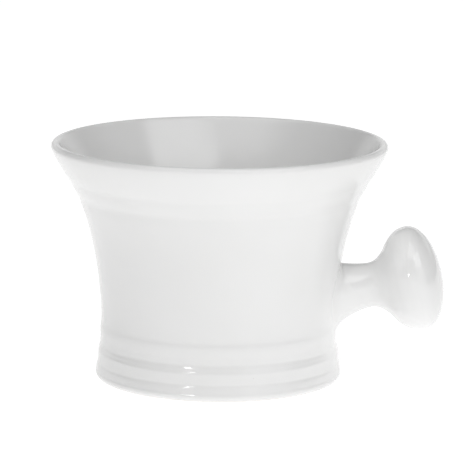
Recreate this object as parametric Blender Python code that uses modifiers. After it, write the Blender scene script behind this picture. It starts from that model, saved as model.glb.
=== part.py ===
"""Shaving mug: a flared ceramic bowl with a ribbed foot and a knob handle on its side.

Units are metres, +Z is up and the mug stands on z = 0. The handle points along +X.
The origin is the middle of the whole object's footprint, so that the bowl's own axis
stands at x = AXIS_X, a little towards -X.

The bowl and the handle are formed separately. Slip joins them: a thin bed between the
stem's root and the wall, with a fillet smoothed round the root.
"""
import math

import bmesh
import bpy
from mathutils import Matrix

# Bowl
HEIGHT = 0.080
RIM_RADIUS = 0.0563
LIP_ROUND = 0.00155         # radius of the rounded lip
FOOT_RADIUS = 0.0415        # at the widest point of the foot
FOOT_ROUND = 0.0022         # rounding between the foot and the table
FOOT_RING_WIDTH = 0.0048    # flat ring that touches the table
RECESS_DEPTH = 0.0022       # hollow under the bowl, inside the ring
RECESS_SLOPE = 0.0009       # how far the ring's inner edge leans in
FLOOR_HEIGHT = 0.0072       # upper side of the bowl's floor
FLOOR_CORNER = 0.0140       # rounding between floor and wall, inside

# Wall curves: (height, radius, slope), where slope is radius gained per height
LIP_OUTER_SLOPE = 0.36
LIP_INNER_SLOPE = 0.62
FOOT_SLOPE = -0.25
OUTER_KNOTS = (
    (0.0085, 0.03995, -0.17),
    (0.0140, 0.03950, -0.03),
    (0.0210, 0.03955, 0.02),    # waist
    (0.0342, 0.04050, 0.12),
    (0.0454, 0.04230, 0.20),
    (0.0600, 0.04660, 0.38),
    (0.0718, 0.05305, 0.575),
)
INNER_KNOTS = (
    (FLOOR_HEIGHT + FLOOR_CORNER, 0.0355, 0.03),
    (0.0400, 0.0373, 0.17),
    (0.0600, 0.0426, 0.38),
)
# Ribs above the foot and scored lines under the rim: (height, radius gained, half-width)
RIBS = (
    (0.0098, 0.00032, 0.0017),
    (0.0170, 0.00042, 0.0022),
    (0.0617, -0.00016, 0.0018),
    (0.0675, -0.00018, 0.0018),
)

# Handle, measured along its middle line from where that line meets the wall
ROOT_RADIUS = 0.0404            # of the wall, where the line starts
ROOT_HEIGHT = 0.0305
ROOT_TILT = math.radians(3.5)   # upward lean of the stem at the wall
KNOB_TILT = math.radians(12.5)  # and of the knob
STEM_START = -0.0030            # the uncut stem starts inside the wall
STEM_ROOT = 0.0069              # radius of the stem where it is luted on
WAIST_AT, WAIST = 0.0101, 0.0074
SHOULDER_AT, SHOULDER, SHOULDER_SLOPE = 0.0168, 0.0118, 1.55
KNOB_AT, KNOB = 0.0262, 0.01755
DOME = 0.0088                   # how far the knob's end stands out past its widest circle
DOME_EDGE = math.radians(86)    # where the dome's last ring closes

# Slip joint: (distance along the handle, value, change per distance)
GAP = 0.0003                    # between neighbouring pieces
BED = 0.0010                    # slip between the stem's root and the wall
FILLET_END = 0.0061             # how far along the stem the fillet reaches
FILLET_RADII = ((0.0, 0.01145, -1.1), (0.0034, 0.00885, -0.5), (FILLET_END, 0.00805, -0.2))
FILLET_DROPS = ((0.0, 0.00285, -0.9), (0.0034, 0.00065, -0.25), (FILLET_END, 0.00025, -0.1))
CUT_SPAN = (0.006, 0.055)       # heights of the wall that the joint and the stem are fitted to

# Fineness of the meshes
BOWL_SIDES = 48
HANDLE_SIDES = 32
HANDLE_STEP = 0.0012
WALL_STEPS = ((0.0010, 0.0200), (0.0050, 0.0580), (0.0016, 0.0700), (0.0025, HEIGHT))
INNER_ROWS, CORNER_ROWS, LIP_ROWS, FOOT_ROWS, DOME_ROWS = 8, 6, 7, 5, 8
WELD = 0.000001
CREASE = math.radians(40)       # edges sharper than this stay crisp

GLAZE = (0.88, 0.88, 0.87, 1.0)
GLAZE_ROUGHNESS = 0.08
SLIP = (0.86, 0.86, 0.85, 1.0)
SLIP_ROUGHNESS = 0.10


def hermite(knots, at):
    """Value at one place of a smooth curve through knots of (place, value, slope)."""
    for (a, value_a, slope_a), (b, value_b, slope_b) in zip(knots, knots[1:]):
        if at <= b:
            break
    length = b - a
    t = (at - a) / length
    return (
        (1 + 2 * t) * (1 - t) ** 2 * value_a
        + t * (1 - t) ** 2 * length * slope_a
        + t * t * (3 - 2 * t) * value_b
        + t * t * (t - 1) * length * slope_b
    )


def on_circle(centre, radius, turn):
    """Point (radius, height) on a circle in the profile's plane."""
    return (centre[0] + radius * math.cos(turn), centre[1] + radius * math.sin(turn))


def arc(centre, radius, start, end, rows):
    """Points on a circle from one turn to another, both ends included."""
    return [on_circle(centre, radius, start + (end - start) * i / rows) for i in range(rows + 1)]


def knot_on_arc(centre, radius, turn, slope):
    """Wall knot where the wall runs into a rounded edge without a corner."""
    place, height = on_circle(centre, radius, turn)
    return (height, place, slope)


LIP_CENTRE = (RIM_RADIUS - LIP_ROUND, HEIGHT - LIP_ROUND)
LIP_OUTER_TURN = -math.atan(LIP_OUTER_SLOPE)
LIP_INNER_TURN = math.pi - math.atan(LIP_INNER_SLOPE)
FOOT_CENTRE = (FOOT_RADIUS - FOOT_ROUND, FOOT_ROUND)
FOOT_TURN = -math.atan(FOOT_SLOPE)
OUTER_WALL = (
    knot_on_arc(FOOT_CENTRE, FOOT_ROUND, FOOT_TURN, FOOT_SLOPE),
    *OUTER_KNOTS,
    knot_on_arc(LIP_CENTRE, LIP_ROUND, LIP_OUTER_TURN, LIP_OUTER_SLOPE),
)
INNER_WALL = (
    *INNER_KNOTS,
    knot_on_arc(LIP_CENTRE, LIP_ROUND, LIP_INNER_TURN, LIP_INNER_SLOPE),
)


def outer_radius(height):
    """Outer radius of the wall, with its ribs and scored lines."""
    ribs = sum(gain * math.exp(-(((height - at) / width) ** 2)) for at, gain, width in RIBS)
    return hermite(OUTER_WALL, height) + ribs


def wall_rows(low, high):
    """Heights of the outer wall's rows from low up, closer together where it has ribs."""
    rows, height = [], low
    while height < high:
        rows.append(height)
        height += next(step for step, limit in WALL_STEPS if height < limit)
    return rows


def handle_axis(limit):
    """Middle line of the handle up to a distance along it, as (distance, x, z)."""
    count = round((limit - STEM_START) / HANDLE_STEP)
    step = (limit - STEM_START) / count
    at = STEM_START
    x = ROOT_RADIUS + STEM_START * math.cos(ROOT_TILT)
    z = ROOT_HEIGHT + STEM_START * math.sin(ROOT_TILT)
    line = [(at, x, z)]
    for _ in range(count):
        tilt = ROOT_TILT + (KNOB_TILT - ROOT_TILT) * max(at, 0.0) / KNOB_AT
        at, x, z = at + step, x + step * math.cos(tilt), z + step * math.sin(tilt)
        line.append((at, x, z))
    return line


def stem_radius(at):
    """Radius of the stem and of the knob's back, up to the knob's widest circle."""
    if at < WAIST_AT:
        return hermite(((0.0, STEM_ROOT, 0.0), (WAIST_AT, WAIST, 0.0)), max(at, 0.0))
    shoulder = (SHOULDER_AT, SHOULDER, SHOULDER_SLOPE)
    return hermite(((WAIST_AT, WAIST, 0.0), shoulder, (KNOB_AT, KNOB, 0.0)), at)


KNOB_REACH = math.hypot(DOME * math.cos(KNOB_TILT), KNOB * math.sin(KNOB_TILT))
AXIS_X = (RIM_RADIUS - handle_axis(KNOB_AT)[-1][1] - KNOB_REACH) / 2


def clear_scene():
    for item in list(bpy.data.objects):
        bpy.data.objects.remove(item, do_unlink=True)


def new_collection(name):
    group = bpy.data.collections.new(name)
    bpy.context.scene.collection.children.link(group)
    return group


def fired_surface(name, colour, roughness):
    """White ceramic under a clear glaze."""
    material = bpy.data.materials.new(name)
    material.use_nodes = True
    shader = material.node_tree.nodes["Principled BSDF"]
    shader.inputs["Base Color"].default_value = colour
    shader.inputs["Roughness"].default_value = roughness
    shader.inputs["Metallic"].default_value = 0.0
    material.diffuse_color = colour
    return material


def placed(name, mesh, group):
    """Object on the bowl's own axis."""
    item = bpy.data.objects.new(name, mesh)
    item.location.x = AXIS_X
    group.objects.link(item)
    return item


def smooth(mesh):
    mesh.shade_smooth()
    mesh.set_sharp_from_angle(angle=CREASE)


def turned(name, profile, group):
    """Solid turned about the bowl's axis from (radius, height) points."""
    mesh = bpy.data.meshes.new(name)
    points = [(radius, 0.0, height) for radius, height in profile]
    mesh.from_pydata(points, [(i, i + 1) for i in range(len(points) - 1)], [])
    item = placed(name, mesh, group)
    screw = item.modifiers.new("turn", "SCREW")
    screw.axis = "Z"
    screw.steps = screw.render_steps = BOWL_SIDES
    screw.use_merge_vertices = True
    screw.merge_threshold = WELD
    screw.use_smooth_shade = True
    return item


def swept(name, line, group):
    """Round solid along a line of (x, z, radius) in the plane y = 0, as a closed mesh."""
    widest = max(radius for _, _, radius in line)
    curve = bpy.data.curves.new(name + "_line", "CURVE")
    curve.dimensions = "3D"
    curve.bevel_depth = widest
    curve.bevel_resolution = (HANDLE_SIDES - 4) // 2
    curve.use_fill_caps = True
    spline = curve.splines.new("POLY")
    spline.points.add(len(line) - 1)
    for point, (x, z, radius) in zip(spline.points, line):
        point.co = (x, 0.0, z, 1.0)
        point.radius = radius / widest
    guide = placed(name + "_line", curve, group)
    bpy.context.view_layer.update()

    shape = guide.evaluated_get(bpy.context.evaluated_depsgraph_get())
    mesh = bpy.data.meshes.new_from_object(shape)
    mesh.name = name
    work = bmesh.new()
    work.from_mesh(mesh)
    bmesh.ops.remove_doubles(work, verts=work.verts, dist=WELD)
    bmesh.ops.recalc_face_normals(work, faces=work.faces)
    work.to_mesh(mesh)
    work.free()
    smooth(mesh)
    item = placed(name, mesh, group)
    item.matrix_world = guide.matrix_world
    bpy.data.objects.remove(guide, do_unlink=True)
    return item


def lofted(name, rings, group):
    """Solid through upright circles of (x, z, radius), whose middles need not line up."""
    work = bmesh.new()
    loops = []
    facing_x = Matrix.Rotation(math.pi / 2, 4, "Y")
    for x, z, radius in rings:
        place = Matrix.Translation((x, 0.0, z)) @ facing_x
        made = bmesh.ops.create_circle(work, segments=HANDLE_SIDES, radius=radius, matrix=place)
        loops.append(list({edge for vert in made["verts"] for edge in vert.link_edges}))
    for near, far in zip(loops, loops[1:]):
        bmesh.ops.bridge_loops(work, edges=near + far)
    for end in (loops[0], loops[-1]):
        bmesh.ops.contextual_create(work, geom=end)
    bmesh.ops.recalc_face_normals(work, faces=work.faces)
    mesh = bpy.data.meshes.new(name)
    work.to_mesh(mesh)
    work.free()
    smooth(mesh)
    return placed(name, mesh, group)


def cut(item, cutter):
    cutter.hide_render = True
    cutter.display_type = "WIRE"
    boolean = item.modifiers.new("cut_" + cutter.name, "BOOLEAN")
    boolean.operation = "DIFFERENCE"
    boolean.solver = "EXACT"
    boolean.object = cutter


def wall_cutter(name, offset, group):
    """The bowl's outer side round the joint, grown by an offset and closed."""
    heights = reversed(wall_rows(*CUT_SPAN))
    side = [(outer_radius(height) + offset, height) for height in heights]
    return turned(name, [(0.0, side[0][1]), *side, (0.0, side[-1][1])], group)


def mug_body(group):
    """Bowl: floor, inner wall, lip, outer wall and foot ring in one turned solid."""
    corner_centre = (INNER_KNOTS[0][1] - FLOOR_CORNER, FLOOR_HEIGHT + FLOOR_CORNER)
    floor = [(0.0, FLOOR_HEIGHT), (corner_centre[0] / 2, FLOOR_HEIGHT)]
    corner = arc(corner_centre, FLOOR_CORNER, -math.pi / 2, 0.0, CORNER_ROWS)
    low, high = INNER_WALL[0][0], INNER_WALL[-1][0]
    heights = [low + (high - low) * i / INNER_ROWS for i in range(1, INNER_ROWS)]
    inner = [(hermite(INNER_WALL, height), height) for height in heights]
    lip = arc(LIP_CENTRE, LIP_ROUND, LIP_INNER_TURN, LIP_OUTER_TURN, LIP_ROWS)
    heights = reversed(wall_rows(OUTER_WALL[0][0], OUTER_WALL[-1][0])[1:])
    outer = [(outer_radius(height), height) for height in heights]
    foot = arc(FOOT_CENTRE, FOOT_ROUND, FOOT_TURN, -math.pi / 2, FOOT_ROWS)
    ring = FOOT_CENTRE[0] - FOOT_RING_WIDTH
    recess = [(ring, 0.0), (ring - RECESS_SLOPE, RECESS_DEPTH), (0.0, RECESS_DEPTH)]
    body = turned("mug_body", floor + corner + inner + lip + outer + foot + recess, group)
    body.data.materials.append(fired_surface("body_glaze", GLAZE, GLAZE_ROUGHNESS))


def knob_handle(group, cutters):
    """Stem that narrows to a waist and swells into a knob with a domed end."""
    line = [(x, z, stem_radius(at)) for at, x, z in handle_axis(KNOB_AT)]
    x, z, _ = line[-1]
    for i in range(1, DOME_ROWS + 1):
        turn = DOME_EDGE * i / DOME_ROWS
        ahead = DOME * math.sin(turn)
        place = (x + ahead * math.cos(KNOB_TILT), z + ahead * math.sin(KNOB_TILT))
        line.append((*place, KNOB * math.cos(turn)))
    handle = swept("knob_handle", line, group)
    cut(handle, wall_cutter("wall_for_root", GAP + BED + GAP, cutters))
    handle.data.materials.append(fired_surface("handle_glaze", GLAZE, GLAZE_ROUGHNESS))


def slip_joint(group, cutters):
    """Bed of slip on the wall, with a fillet that rises round the stem's root."""
    rings = []
    for at, x, z in handle_axis(FILLET_END):
        place = max(at, 0.0)
        rings.append((x, z - hermite(FILLET_DROPS, place), hermite(FILLET_RADII, place)))
    joint = lofted("slip_joint", rings, group)
    socket_line = [(x, z, stem_radius(at) + GAP) for at, x, z in handle_axis(WAIST_AT)]
    socket = swept("stem_socket", socket_line, cutters)
    cut(socket, wall_cutter("wall_for_socket", GAP + BED, cutters))
    cut(joint, wall_cutter("wall_for_bed", GAP, cutters))
    cut(joint, socket)
    joint.data.materials.append(fired_surface("slip_glaze", SLIP, SLIP_ROUGHNESS))


def build():
    clear_scene()
    parts = new_collection("shaving_mug")
    cutters = new_collection("cutters")
    mug_body(parts)
    knob_handle(parts, cutters)
    slip_joint(parts, cutters)


build()
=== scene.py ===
import math

import bmesh
import bpy
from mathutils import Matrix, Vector, noise


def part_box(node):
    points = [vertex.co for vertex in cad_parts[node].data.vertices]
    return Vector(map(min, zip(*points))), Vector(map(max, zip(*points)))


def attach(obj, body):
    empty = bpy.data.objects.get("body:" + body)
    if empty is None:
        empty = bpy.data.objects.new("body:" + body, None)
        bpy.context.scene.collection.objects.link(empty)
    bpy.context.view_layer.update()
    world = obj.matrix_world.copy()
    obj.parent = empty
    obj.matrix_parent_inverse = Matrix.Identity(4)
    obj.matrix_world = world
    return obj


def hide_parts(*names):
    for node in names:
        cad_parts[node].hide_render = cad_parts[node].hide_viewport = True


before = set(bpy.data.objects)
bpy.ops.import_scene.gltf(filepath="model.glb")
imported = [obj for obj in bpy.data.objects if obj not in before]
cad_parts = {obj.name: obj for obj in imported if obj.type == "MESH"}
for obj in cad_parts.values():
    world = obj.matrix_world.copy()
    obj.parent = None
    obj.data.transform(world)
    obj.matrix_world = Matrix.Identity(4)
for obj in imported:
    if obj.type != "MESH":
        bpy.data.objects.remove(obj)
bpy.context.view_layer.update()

# ---- the bowl's curves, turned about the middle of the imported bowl's own box ----
LOW, HIGH = (Vector(corner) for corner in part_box("mug_body"))
AXIS_X = (LOW.x + HIGH.x) / 2
HEIGHT = 0.080
RIM_RADIUS = 0.0563
LIP_ROUND = 0.00155
FOOT_RADIUS = 0.0414
FOOT_ROUND = 0.0018
FOOT_RING_WIDTH = 0.0048
RECESS_DEPTH = 0.0022
RECESS_SLOPE = 0.0009
RECESS_BEVEL = 0.0004
FLOOR_HEIGHT = 0.0072
FLOOR_CORNER = 0.0140

# Wall curves: (height, radius, slope), where slope is radius gained per height
LIP_OUTER_SLOPE = 0.36
LIP_INNER_SLOPE = 0.62
FOOT_SLOPE = -0.30
STEPS_TOP = 0.0208           # the side is plain above this and stepped below it
OUTER_KNOTS = (
    (0.0030, 0.04119, -0.15),
    (0.0043, 0.04098, -0.17),
    (0.0050, 0.04083, -0.26),
    (0.0058, 0.04070, -0.07),
    (0.0085, 0.04050, -0.05),
    (0.0096, 0.04036, -0.25),
    (0.0104, 0.04019, -0.17),
    (0.0112, 0.04002, -0.26),
    (0.0126, 0.03984, -0.03),
    (0.0144, 0.03980, 0.03),
    (0.0162, 0.03984, 0.00),
    (0.0183, 0.03967, -0.16),
    (0.0208, 0.03950, 0.00),
    (0.0342, 0.04050, 0.12),
    (0.0454, 0.04230, 0.20),
    (0.0600, 0.04660, 0.38),
    (0.0718, 0.05305, 0.575),
)
INNER_KNOTS = (
    (FLOOR_HEIGHT + FLOOR_CORNER, 0.0355, 0.03),
    (0.0400, 0.0373, 0.17),
    (0.0600, 0.0426, 0.38),
)
# Scored lines under the rim: (height, radius gained, half-width)
RIBS = (
    (0.0617, -0.00016, 0.0018),
    (0.0675, -0.00018, 0.0018),
)
WOBBLE = 0.00007             # how far a hand-finished surface strays from its true curve
WOBBLE_SCALE = 55.0          # waves per metre
WOBBLE_SHIFT = Vector((7.3, 1.9, 4.4))    # so that the y waves aren't the x waves

# ---- the handle ----
ROOT_RADIUS = 0.0404
ROOT_HEIGHT = 0.0305
ROOT_TILT = math.radians(3.5)
KNOB_TILT = math.radians(12.5)
STEM_START = -0.0010
STEM_ROOT, STEM_ROOT_SLOPE = 0.0084, -0.15
WAIST_AT, WAIST = 0.0101, 0.0074
SHOULDER_AT, SHOULDER, SHOULDER_SLOPE = 0.0168, 0.0118, 1.55
KNOB_AT, KNOB = 0.0262, 0.01755
DOME = 0.0088

# ---- the joint's fillet, at the top and at the bottom of the stem ----
FILLET_ON_WALL = (0.0094, 0.0147)       # from the stem's middle line
FILLET_ON_STEM = (0.0016, 0.0112)       # along the stem
FILLET_WALL_PULL = (0.0010, 0.0110)
FILLET_STEM_PULL = (0.0012, 0.0092)
FILLET_EASE = 1.3                       # above 1, the top's values reach further down the sides
SINK = 0.000012                         # how far the fillet's edges dip under their neighbours
HIDDEN_SHARE = 0.9                      # the joint's hidden sides, as a share of its edges
SEAT_SINK = 0.0006                      # how deep the joint's bed lies in the wall
SEAT_THICKNESS = 0.0010                 # from the bed's middle to the hidden side in the stem

# ---- how fine the meshes are ----
BOWL_SIDES = 224
FLOOR_ROWS, CORNER_ROWS, INNER_ROWS, LIP_ROWS = 10, 20, 44, 18
SIDE_ROWS, STEP_ROWS, FOOT_ROWS, RECESS_ROWS = 96, 120, 12, 10
HANDLE_SIDES = 144
STEM_ROWS, DOME_ROWS, FILLET_ROWS = 84, 40, 28
AXIS_STEPS = 24
SLOPE_STEP = 0.0001                     # reach over which the fillet's neighbours are measured

# ---- glaze and clay: colours, and scales in waves per metre ----
GLAZE_COLOURS = (0.875, 0.875, 0.870, 1.0), (0.900, 0.900, 0.898, 1.0)
WAVE_RANGE = (0.3, 0.7)                 # part of the noise's range that is stretched to full
POOLING_SCALE = 22.0
PINHOLE_COLOUR = (0.74, 0.73, 0.71, 1.0)
PINHOLE_SCALE = 210.0
PINHOLE_EDGE = (0.020, 0.050)           # distance from a pinhole's middle, in cells
PINHOLE_SPREAD_SCALE = 95.0
PINHOLE_SHARE = (0.69, 0.73)            # pinholes lie where the waves rise above this
GLOSS = (0.045, 0.075)
GLOSS_SCALE = 60.0
RIPPLE_SCALE, RIPPLE_DEPTH = 150.0, 0.000012
FINE_RIPPLE_SCALE, FINE_RIPPLE_DEPTH = 420.0, 0.000002
GLAZE_IOR = 1.6
CLAY_COLOURS = (0.66, 0.63, 0.58, 1.0), (0.80, 0.78, 0.74, 1.0)
CLAY_ROUGHNESS = 0.85
GRAIN_SCALE, GRAIN_DEPTH = 2600.0, 0.00003
BARE_EDGE = (0.00012, 0.00024)          # heights between which the glaze begins
BARE_EDGE_SCALE, BARE_EDGE_WANDER = 300.0, 0.0003

# ---- camera and studio ----
VIEW_ELEVATION = math.radians(11.10)
VIEW_DISTANCE = 1.1525
VIEW_LENS = 265.3
VIEW_ROLL = math.radians(0.47)
VIEW_AIM = (0.0045, 0.0088)             # to the right of and above the bowl's middle
TABLE_REACH = 12.0
TABLE_COLOUR = (0.35, 0.35, 0.35, 1.0)
TABLE_GLOW = 0.852
# Room light: flat, slopes, squares. Limits are heights on a sky of radius 1
HORIZON_LIGHT = (0.61, (-0.08, 0.12, 0.0), (-0.54, 0.0, 0.0))
HORIZON_LIMITS = (0.12, 0.42)           # the horizon's light gives way to the walls'
WALL_LIGHT = (0.10, (-0.04, 0.10, 0.0))
ZENITH_LIGHT = 0.44
ZENITH_LIMITS = (0.70, 0.95)
CEILING_GLOW = 1.18
CEILING_GLOW_AT = (-42.0, 72.0)         # turn and rise, in degrees
CEILING_GLOW_WIDTH = (30.0, 16.0)       # where it starts and where it is full, in degrees
BACK_SHEET = 0.30                       # a bright sheet low down behind the mug
BACK_SHEET_DEPTH = (0.685, 0.715)       # how far back on the sky it begins
BACK_SHEET_FOOT = (0.11, 0.15)
BACK_SHEET_TOP = (0.33, 0.38)
# Soft lights: name, (turn, rise) in degrees, distance, (width, height), brightness
SOFT_LIGHTS = (
    ("window", (39.0, 47.5), 1.2, (1.03, 0.62), 1.92),
    ("low_window", (46.0, 17.0), 1.2, (1.07, 0.64), 0.64),
    ("small_lamp", (-27.0, 12.0), 1.5, (0.07, 0.07), 75.0),
)


def hermite(knots, at):
    """Value at one place of a smooth curve through knots of (place, value, slope)."""
    for (a, value_a, slope_a), (b, value_b, slope_b) in zip(knots, knots[1:]):
        if at <= b:
            break
    length = b - a
    t = (at - a) / length
    return (
        (1 + 2 * t) * (1 - t) ** 2 * value_a
        + t * (1 - t) ** 2 * length * slope_a
        + t * t * (3 - 2 * t) * value_b
        + t * t * (t - 1) * length * slope_b
    )


def on_circle(centre, radius, turn):
    return (centre[0] + radius * math.cos(turn), centre[1] + radius * math.sin(turn))


def arc(centre, radius, start, end, rows):
    return [on_circle(centre, radius, start + (end - start) * i / rows) for i in range(rows + 1)]


def knot_on_arc(centre, radius, turn, slope):
    place, height = on_circle(centre, radius, turn)
    return (height, place, slope)


LIP_CENTRE = (RIM_RADIUS - LIP_ROUND, HEIGHT - LIP_ROUND)
LIP_OUTER_TURN = -math.atan(LIP_OUTER_SLOPE)
LIP_INNER_TURN = math.pi - math.atan(LIP_INNER_SLOPE)
FOOT_CENTRE = (FOOT_RADIUS - FOOT_ROUND, FOOT_ROUND)
FOOT_TURN = -math.atan(FOOT_SLOPE)
OUTER_WALL = (
    knot_on_arc(FOOT_CENTRE, FOOT_ROUND, FOOT_TURN, FOOT_SLOPE),
    *OUTER_KNOTS,
    knot_on_arc(LIP_CENTRE, LIP_ROUND, LIP_OUTER_TURN, LIP_OUTER_SLOPE),
)
INNER_WALL = (
    *INNER_KNOTS,
    knot_on_arc(LIP_CENTRE, LIP_ROUND, LIP_INNER_TURN, LIP_INNER_SLOPE),
)


def outer_radius(height):
    ribs = sum(gain * math.exp(-(((height - at) / width) ** 2)) for at, gain, width in RIBS)
    return hermite(OUTER_WALL, height) + ribs


def spread(low, high, rows):
    """Evenly spaced values strictly between two others."""
    return [low + (high - low) * i / rows for i in range(1, rows)]


def bowl_profile():
    """(radius, height) points from the middle of the floor, over the lip, to under the foot."""
    corner_centre = (INNER_KNOTS[0][1] - FLOOR_CORNER, FLOOR_HEIGHT + FLOOR_CORNER)
    floor = [(r, FLOOR_HEIGHT) for r in spread(0.0, corner_centre[0], FLOOR_ROWS)]
    corner = arc(corner_centre, FLOOR_CORNER, -math.pi / 2, 0.0, CORNER_ROWS)
    inside = spread(INNER_WALL[0][0], INNER_WALL[-1][0], INNER_ROWS)
    inner = [(hermite(INNER_WALL, z), z) for z in inside]
    lip = arc(LIP_CENTRE, LIP_ROUND, LIP_INNER_TURN, LIP_OUTER_TURN, LIP_ROWS)
    side = spread(OUTER_WALL[-1][0], STEPS_TOP, SIDE_ROWS) + [STEPS_TOP]
    steps = spread(STEPS_TOP, OUTER_WALL[0][0], STEP_ROWS)
    outer = [(outer_radius(z), z) for z in side + steps]
    foot = arc(FOOT_CENTRE, FOOT_ROUND, FOOT_TURN, -math.pi / 2, FOOT_ROWS)
    ring = FOOT_CENTRE[0] - FOOT_RING_WIDTH
    recess = ring - RECESS_SLOPE - RECESS_BEVEL
    under = [
        (ring + RECESS_BEVEL, 0.0),
        (ring, RECESS_BEVEL / 2),
        (ring - RECESS_SLOPE, RECESS_DEPTH - RECESS_BEVEL),
        (recess, RECESS_DEPTH),
    ]
    ceiling = [(r, RECESS_DEPTH) for r in spread(recess, 0.0, RECESS_ROWS)]
    return floor + corner + inner + lip + outer + foot + under + ceiling


def strayed(place, amount):
    """A point moved a hair off its true place, the same way for its neighbours."""
    at = place * WOBBLE_SCALE
    push = Vector((noise.noise(at), noise.noise(at + WOBBLE_SHIFT), 0.0))
    return place + push * amount


def new_object(name, build):
    """Mesh object whose faces a function fills in."""
    mesh = bpy.data.meshes.new(name)
    work = bmesh.new()
    build(work)
    bmesh.ops.recalc_face_normals(work, faces=work.faces)
    work.to_mesh(mesh)
    work.free()
    mesh.shade_smooth()
    item = bpy.data.objects.new(name, mesh)
    bpy.context.scene.collection.objects.link(item)
    return item


def skin(work, rings):
    """Quads between neighbouring closed rings of points; returns the rings' vertices."""
    made = [[work.verts.new(point) for point in ring] for ring in rings]
    for near, far in zip(made, made[1:]):
        count = len(near)
        for i in range(count):
            j = (i + 1) % count
            work.faces.new((near[i], near[j], far[j], far[i]))
    return made


def close(work, ring, middle):
    """Fan of triangles from a ring to a point."""
    tip = work.verts.new(middle)
    for a, b in zip(ring, ring[1:] + ring[:1]):
        work.faces.new((a, b, tip))


def build_bowl(work):
    rings = []
    for radius, height in bowl_profile():
        ring = []
        for i in range(BOWL_SIDES):
            turn = 2 * math.pi * i / BOWL_SIDES
            at = Vector((AXIS_X + radius * math.cos(turn), radius * math.sin(turn), height))
            standing = min(height / FOOT_ROUND, 1.0)
            ring.append(strayed(at, WOBBLE * standing))
        rings.append(ring)
    made = skin(work, rings)
    close(work, made[0], Vector((AXIS_X, 0.0, FLOOR_HEIGHT)))
    close(work, made[-1], Vector((AXIS_X, 0.0, RECESS_DEPTH)))


def handle_axis(at):
    """Point on the handle's middle line and the line's tilt there."""
    x, z = ROOT_RADIUS, ROOT_HEIGHT
    bend = (KNOB_TILT - ROOT_TILT) / KNOB_AT
    for i in range(AXIS_STEPS):
        tilt = ROOT_TILT + bend * max(at, 0.0) * (i + 0.5) / AXIS_STEPS
        x += at / AXIS_STEPS * math.cos(tilt)
        z += at / AXIS_STEPS * math.sin(tilt)
    tilt = ROOT_TILT + bend * min(max(at, 0.0), KNOB_AT)
    return Vector((AXIS_X + x, 0.0, z)), tilt


def stem_radius(at):
    waist = (WAIST_AT, WAIST, 0.0)
    if at < WAIST_AT:
        return hermite(((0.0, STEM_ROOT, STEM_ROOT_SLOPE), waist), max(at, 0.0))
    shoulder = (SHOULDER_AT, SHOULDER, SHOULDER_SLOPE)
    return hermite((waist, shoulder, (KNOB_AT, KNOB, 0.0)), at)


def round_the_handle(middle, tilt, radius, turn):
    """Point on a ring round the handle; turn runs from the top, over -Y, to the bottom."""
    up = Vector((-math.sin(tilt), 0.0, math.cos(tilt)))
    side = Vector((0.0, -1.0, 0.0))
    return middle + radius * (up * math.cos(turn) + side * math.sin(turn))


def on_stem(at, turn):
    middle, tilt = handle_axis(at)
    return round_the_handle(middle, tilt, stem_radius(at), turn)


def build_handle(work):
    rows = [STEM_START, *spread(STEM_START, KNOB_AT, STEM_ROWS), KNOB_AT]
    turns = [2 * math.pi * i / HANDLE_SIDES for i in range(HANDLE_SIDES)]
    rings = [[strayed(on_stem(at, turn), WOBBLE) for turn in turns] for at in rows]
    middle, tilt = handle_axis(KNOB_AT)
    ahead = Vector((math.cos(tilt), 0.0, math.sin(tilt)))
    for lean in spread(0.0, math.pi / 2, DOME_ROWS):
        base = middle + ahead * DOME * math.sin(lean)
        ring = [round_the_handle(base, tilt, KNOB * math.cos(lean), turn) for turn in turns]
        rings.append([strayed(point, WOBBLE) for point in ring])
    made = skin(work, rings)
    close(work, made[0], handle_axis(STEM_START)[0])
    close(work, made[-1], middle + ahead * DOME)


def on_wall(away, turn, sink=0.0):
    """Point of the bowl's outer side, some way from the stem's middle line."""
    height = ROOT_HEIGHT + away * math.cos(turn)
    across = -away * math.sin(turn)
    radius = outer_radius(height) - sink
    return Vector((AXIS_X + math.sqrt(radius**2 - across**2), across, height))


def eased(ends, turn):
    """Between a value at the stem's top and one at its bottom."""
    share = (1 - math.cos(turn)) / 2
    return ends[0] + (ends[1] - ends[0]) * share**FILLET_EASE


def build_joint(work):
    rings = [[] for _ in range(FILLET_ROWS + 1)]
    root, wall_bed = [], []
    for i in range(HANDLE_SIDES):
        turn = 2 * math.pi * i / HANDLE_SIDES
        away, along = eased(FILLET_ON_WALL, turn), eased(FILLET_ON_STEM, turn)
        start = on_wall(away, turn, SINK)
        inward = (on_wall(away - SLOPE_STEP, turn) - on_wall(away, turn)).normalized()
        middle, tilt = handle_axis(along)
        end = round_the_handle(middle, tilt, stem_radius(along) - SINK, turn)
        outward = (on_stem(along + SLOPE_STEP, turn) - on_stem(along, turn)).normalized()
        pulls = inward * eased(FILLET_WALL_PULL, turn), outward * eased(FILLET_STEM_PULL, turn)
        for row, ring in enumerate(rings):
            t = row / FILLET_ROWS
            point = (
                start * (1 + 2 * t) * (1 - t) ** 2
                + pulls[0] * t * (1 - t) ** 2
                + end * t * t * (3 - 2 * t)
                + pulls[1] * t * t * (t - 1)
            )
            ring.append(strayed(point, WOBBLE))
        root.append(round_the_handle(middle, tilt, stem_radius(along) * HIDDEN_SHARE, turn))
        wall_bed.append(on_wall(away * HIDDEN_SHARE, turn, SEAT_SINK))
    made = skin(work, [wall_bed, *rings, root])
    seat = on_wall(0.0, 0.0, SEAT_SINK)
    close(work, made[0], seat)
    close(work, made[-1], seat + Vector((SEAT_THICKNESS, 0.0, 0.0)))


# ---- materials ----
def node(tree, kind, **settings):
    made = tree.nodes.new(kind)
    for name, value in settings.items():
        setattr(made, name, value)
    return made


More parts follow.
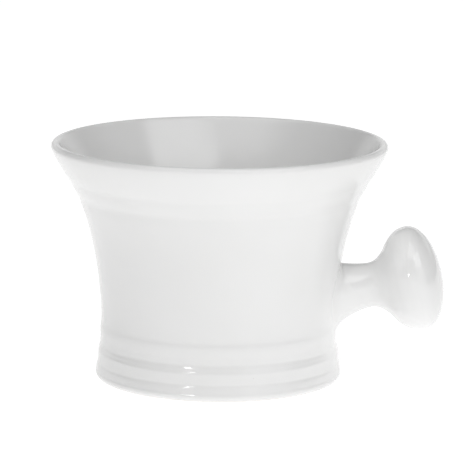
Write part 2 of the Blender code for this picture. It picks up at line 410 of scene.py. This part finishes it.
def math_node(tree, operation, *values):
    """Output of a maths node whose inputs are numbers or sockets."""
    made = node(tree, "ShaderNodeMath", operation=operation)
    for socket, value in zip(made.inputs, values):
        if isinstance(value, float):
            socket.default_value = value
        else:
            tree.links.new(value, socket)
    return made.outputs["Value"]


def mixed(tree, factor, low, high):
    """Colour between two others by a factor socket."""
    mix = node(tree, "ShaderNodeMix", data_type="RGBA")
    tree.links.new(factor, mix.inputs["Factor"])
    for name, value in (("A", low), ("B", high)):
        socket = next(s for s in mix.inputs if s.name == name and s.type == "RGBA")
        if isinstance(value, tuple):
            socket.default_value = value
        else:
            tree.links.new(value, socket)
    return next(s for s in mix.outputs if s.type == "RGBA")


def ramp(tree, factor, low, high, start=0.0, end=1.0):
    """A factor stretched from one range to another, smoothly."""
    made = node(tree, "ShaderNodeMapRange", interpolation_type="SMOOTHSTEP")
    tree.links.new(factor, made.inputs["Value"])
    made.inputs["From Min"].default_value = low
    made.inputs["From Max"].default_value = high
    made.inputs["To Min"].default_value = start
    made.inputs["To Max"].default_value = end
    return made.outputs["Result"]


def waves(tree, place, scale, detail=2.0):
    made = node(tree, "ShaderNodeTexNoise")
    tree.links.new(place, made.inputs["Vector"])
    made.inputs["Scale"].default_value = scale
    made.inputs["Detail"].default_value = detail
    return made.outputs["Fac"]


def bumped(tree, height, depth, before=None):
    made = node(tree, "ShaderNodeBump")
    tree.links.new(height, made.inputs["Height"])
    made.inputs["Distance"].default_value = depth
    if before is not None:
        tree.links.new(before, made.inputs["Normal"])
    return made.outputs["Normal"]


def glaze(name, bare_foot=False):
    """Clear glossy glaze over white ceramic: it pools a little, ripples and has rare pinholes."""
    material = bpy.data.materials.new(name)
    material.use_nodes = True
    tree = material.node_tree
    shader = tree.nodes["Principled BSDF"]
    place = node(tree, "ShaderNodeTexCoord").outputs["Object"]

    thick = ramp(tree, waves(tree, place, POOLING_SCALE), *WAVE_RANGE)
    colour = mixed(tree, thick, *GLAZE_COLOURS)
    pits = node(tree, "ShaderNodeTexVoronoi", feature="F1")
    tree.links.new(place, pits.inputs["Vector"])
    pits.inputs["Scale"].default_value = PINHOLE_SCALE
    pit = ramp(tree, pits.outputs["Distance"], *PINHOLE_EDGE, 1.0, 0.0)
    few = ramp(tree, waves(tree, place, PINHOLE_SPREAD_SCALE, 0.0), *PINHOLE_SHARE)
    rare = math_node(tree, "MULTIPLY", pit, few)
    colour = mixed(tree, rare, colour, PINHOLE_COLOUR)
    rough = ramp(tree, waves(tree, place, GLOSS_SCALE), *WAVE_RANGE, *GLOSS)

    normal = bumped(tree, waves(tree, place, RIPPLE_SCALE, 1.0), RIPPLE_DEPTH)
    fine = waves(tree, place, FINE_RIPPLE_SCALE)
    normal = bumped(tree, fine, FINE_RIPPLE_DEPTH, before=normal)
    shader.inputs["IOR"].default_value = GLAZE_IOR
    if bare_foot:
        colour, rough, normal = bare_below(tree, place, colour, rough, normal)
    tree.links.new(colour, shader.inputs["Base Color"])
    tree.links.new(rough, shader.inputs["Roughness"])
    tree.links.new(normal, shader.inputs["Normal"])
    return material


def bare_below(tree, place, colour, rough, normal):
    """Unglazed, sandy clay where the foot ring meets the table."""
    split = node(tree, "ShaderNodeSeparateXYZ")
    tree.links.new(place, split.inputs["Vector"])
    wander = waves(tree, place, BARE_EDGE_SCALE)
    edge = math_node(tree, "MULTIPLY_ADD", wander, -BARE_EDGE_WANDER, split.outputs["Z"])
    bare = ramp(tree, edge, *BARE_EDGE, 1.0, 0.0)
    grain = waves(tree, place, GRAIN_SCALE, 4.0)
    clay = mixed(tree, grain, *CLAY_COLOURS)
    colour = mixed(tree, bare, colour, clay)
    rougher = node(tree, "ShaderNodeMix", data_type="FLOAT")
    tree.links.new(bare, rougher.inputs["Factor"])
    tree.links.new(rough, rougher.inputs["A"])
    rougher.inputs["B"].default_value = CLAY_ROUGHNESS
    return colour, rougher.outputs["Result"], bumped(tree, grain, GRAIN_DEPTH, before=normal)


# ---- studio ----
def table_surface():
    """Backlit white table, the pale floor that the mug stands on."""
    material = bpy.data.materials.new("studio_table")
    material.use_nodes = True
    shader = material.node_tree.nodes["Principled BSDF"]
    shader.inputs["Base Color"].default_value = TABLE_COLOUR
    shader.inputs["Roughness"].default_value = 0.9
    shader.inputs["Specular IOR Level"].default_value = 0.0
    shader.inputs["Emission Color"].default_value = (1.0, 1.0, 1.0, 1.0)
    shader.inputs["Emission Strength"].default_value = TABLE_GLOW
    return material


def build_table(work):
    corners = ((-1, -1), (1, -1), (1, 1), (-1, 1))
    work.faces.new([work.verts.new((x * TABLE_REACH, y * TABLE_REACH, 0.0)) for x, y in corners])


def toward(turn, rise):
    """Direction from the mug; turn 0 points at the camera's side and 90 along +X, in degrees."""
    a, e = math.radians(turn), math.radians(rise)
    return Vector((math.sin(a) * math.cos(e), -math.cos(a) * math.cos(e), math.sin(e)))


def shaded(tree, place, flat, slopes, squares=(0.0, 0.0, 0.0)):
    """Brightness that changes evenly across the sky: flat + slopes . d + squares . d * d."""
    total = flat
    for factors, source in ((slopes, place), (squares, squared(tree, place))):
        dot = node(tree, "ShaderNodeVectorMath", operation="DOT_PRODUCT")
        tree.links.new(source, dot.inputs[0])
        dot.inputs[1].default_value = factors
        total = math_node(tree, "ADD", dot.outputs["Value"], total)
    return total


def squared(tree, place):
    made = node(tree, "ShaderNodeVectorMath", operation="MULTIPLY")
    tree.links.new(place, made.inputs[0])
    tree.links.new(place, made.inputs[1])
    return made.outputs["Vector"]


def blended(tree, factor, low, high):
    """Number between two others by a factor; each is a number or a socket."""
    mix = node(tree, "ShaderNodeMix", data_type="FLOAT")
    for name, value in (("Factor", factor), ("A", low), ("B", high)):
        if isinstance(value, float):
            mix.inputs[name].default_value = value
        else:
            tree.links.new(value, mix.inputs[name])
    return mix.outputs["Result"]


def soft_sky():
    """Room light: pale near the horizon, dim above it, paler overhead, and a sheet behind."""
    world = bpy.data.worlds.new("studio")
    bpy.context.scene.world = world
    world.use_nodes = True
    tree = world.node_tree
    place = node(tree, "ShaderNodeTexCoord").outputs["Generated"]
    split = node(tree, "ShaderNodeSeparateXYZ")
    tree.links.new(place, split.inputs["Vector"])
    horizon = shaded(tree, place, *HORIZON_LIGHT)
    walls = shaded(tree, place, *WALL_LIGHT)
    room = blended(tree, ramp(tree, split.outputs["Z"], *HORIZON_LIMITS), horizon, walls)
    room = blended(tree, ramp(tree, split.outputs["Z"], *ZENITH_LIMITS), room, ZENITH_LIGHT)
    near = node(tree, "ShaderNodeVectorMath", operation="DOT_PRODUCT")
    tree.links.new(place, near.inputs[0])
    near.inputs[1].default_value = toward(*CEILING_GLOW_AT)
    wide, narrow = (math.cos(math.radians(angle)) for angle in CEILING_GLOW_WIDTH)
    glow = ramp(tree, near.outputs["Value"], wide, narrow, 0.0, CEILING_GLOW)
    total = math_node(tree, "ADD", room, glow)
    behind = ramp(tree, split.outputs["Y"], *BACK_SHEET_DEPTH)
    sheet = ramp(tree, split.outputs["Z"], *BACK_SHEET_FOOT, 0.0, BACK_SHEET)
    sheet = blended(tree, ramp(tree, split.outputs["Z"], *BACK_SHEET_TOP), sheet, 0.0)
    total = math_node(tree, "MULTIPLY_ADD", behind, sheet, total)
    tree.links.new(total, tree.nodes["Background"].inputs["Color"])
    tree.nodes["Background"].inputs["Strength"].default_value = 1.0


def softbox(name, aim, distance, size, brightness):
    """Rectangular soft light that faces the mug; its brightness is what a mirror would show."""
    light = bpy.data.lights.new(name, "AREA")
    light.shape = "RECTANGLE"
    light.size, light.size_y = size
    light.energy = brightness * math.pi * size[0] * size[1]
    item = bpy.data.objects.new(name, light)
    bpy.context.scene.collection.objects.link(item)
    way = toward(*aim)
    item.location = Vector((AXIS_X, 0.0, HEIGHT / 2)) + way * distance
    item.rotation_euler = way.to_track_quat("Z", "Y").to_euler()


def place_camera():
    """The camera looks across the mug with the handle to its right."""
    data = bpy.data.cameras.new("camera")
    data.sensor_width = 36.0
    data.lens = VIEW_LENS
    data.clip_start, data.clip_end = 0.05, 60.0
    item = bpy.data.objects.new("camera", data)
    bpy.context.scene.collection.objects.link(item)
    ahead = Vector((0.0, math.cos(VIEW_ELEVATION), -math.sin(VIEW_ELEVATION)))
    up = Vector((0.0, math.sin(VIEW_ELEVATION), math.cos(VIEW_ELEVATION)))
    middle = Vector((AXIS_X, 0.0, HEIGHT / 2))
    item.location = middle - ahead * VIEW_DISTANCE
    aim = middle + Vector((VIEW_AIM[0], 0.0, 0.0)) + up * VIEW_AIM[1] - item.location
    item.rotation_euler = aim.to_track_quat("-Z", "Y").to_euler()
    item.rotation_euler.rotate_axis("Z", VIEW_ROLL)
    bpy.context.scene.camera = item


bowl = new_object("glazed_bowl", build_bowl)
bowl.data.materials.append(glaze("glaze_on_bowl", bare_foot=True))
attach(bowl, "root")
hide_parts("mug_body")

handle = new_object("glazed_knob_handle", build_handle)
handle.data.materials.append(glaze("glaze_on_handle"))
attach(handle, "root")
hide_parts("knob_handle")

joint = new_object("glazed_slip_joint", build_joint)
joint.data.materials.append(glaze("glaze_on_joint"))
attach(joint, "root")
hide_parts("slip_joint")

table = new_object("studio_table", build_table)
table.data.materials.append(table_surface())
soft_sky()
for settings in SOFT_LIGHTS:
    softbox(*settings)
place_camera()
bpy.context.scene.view_settings.view_transform = "Standard"
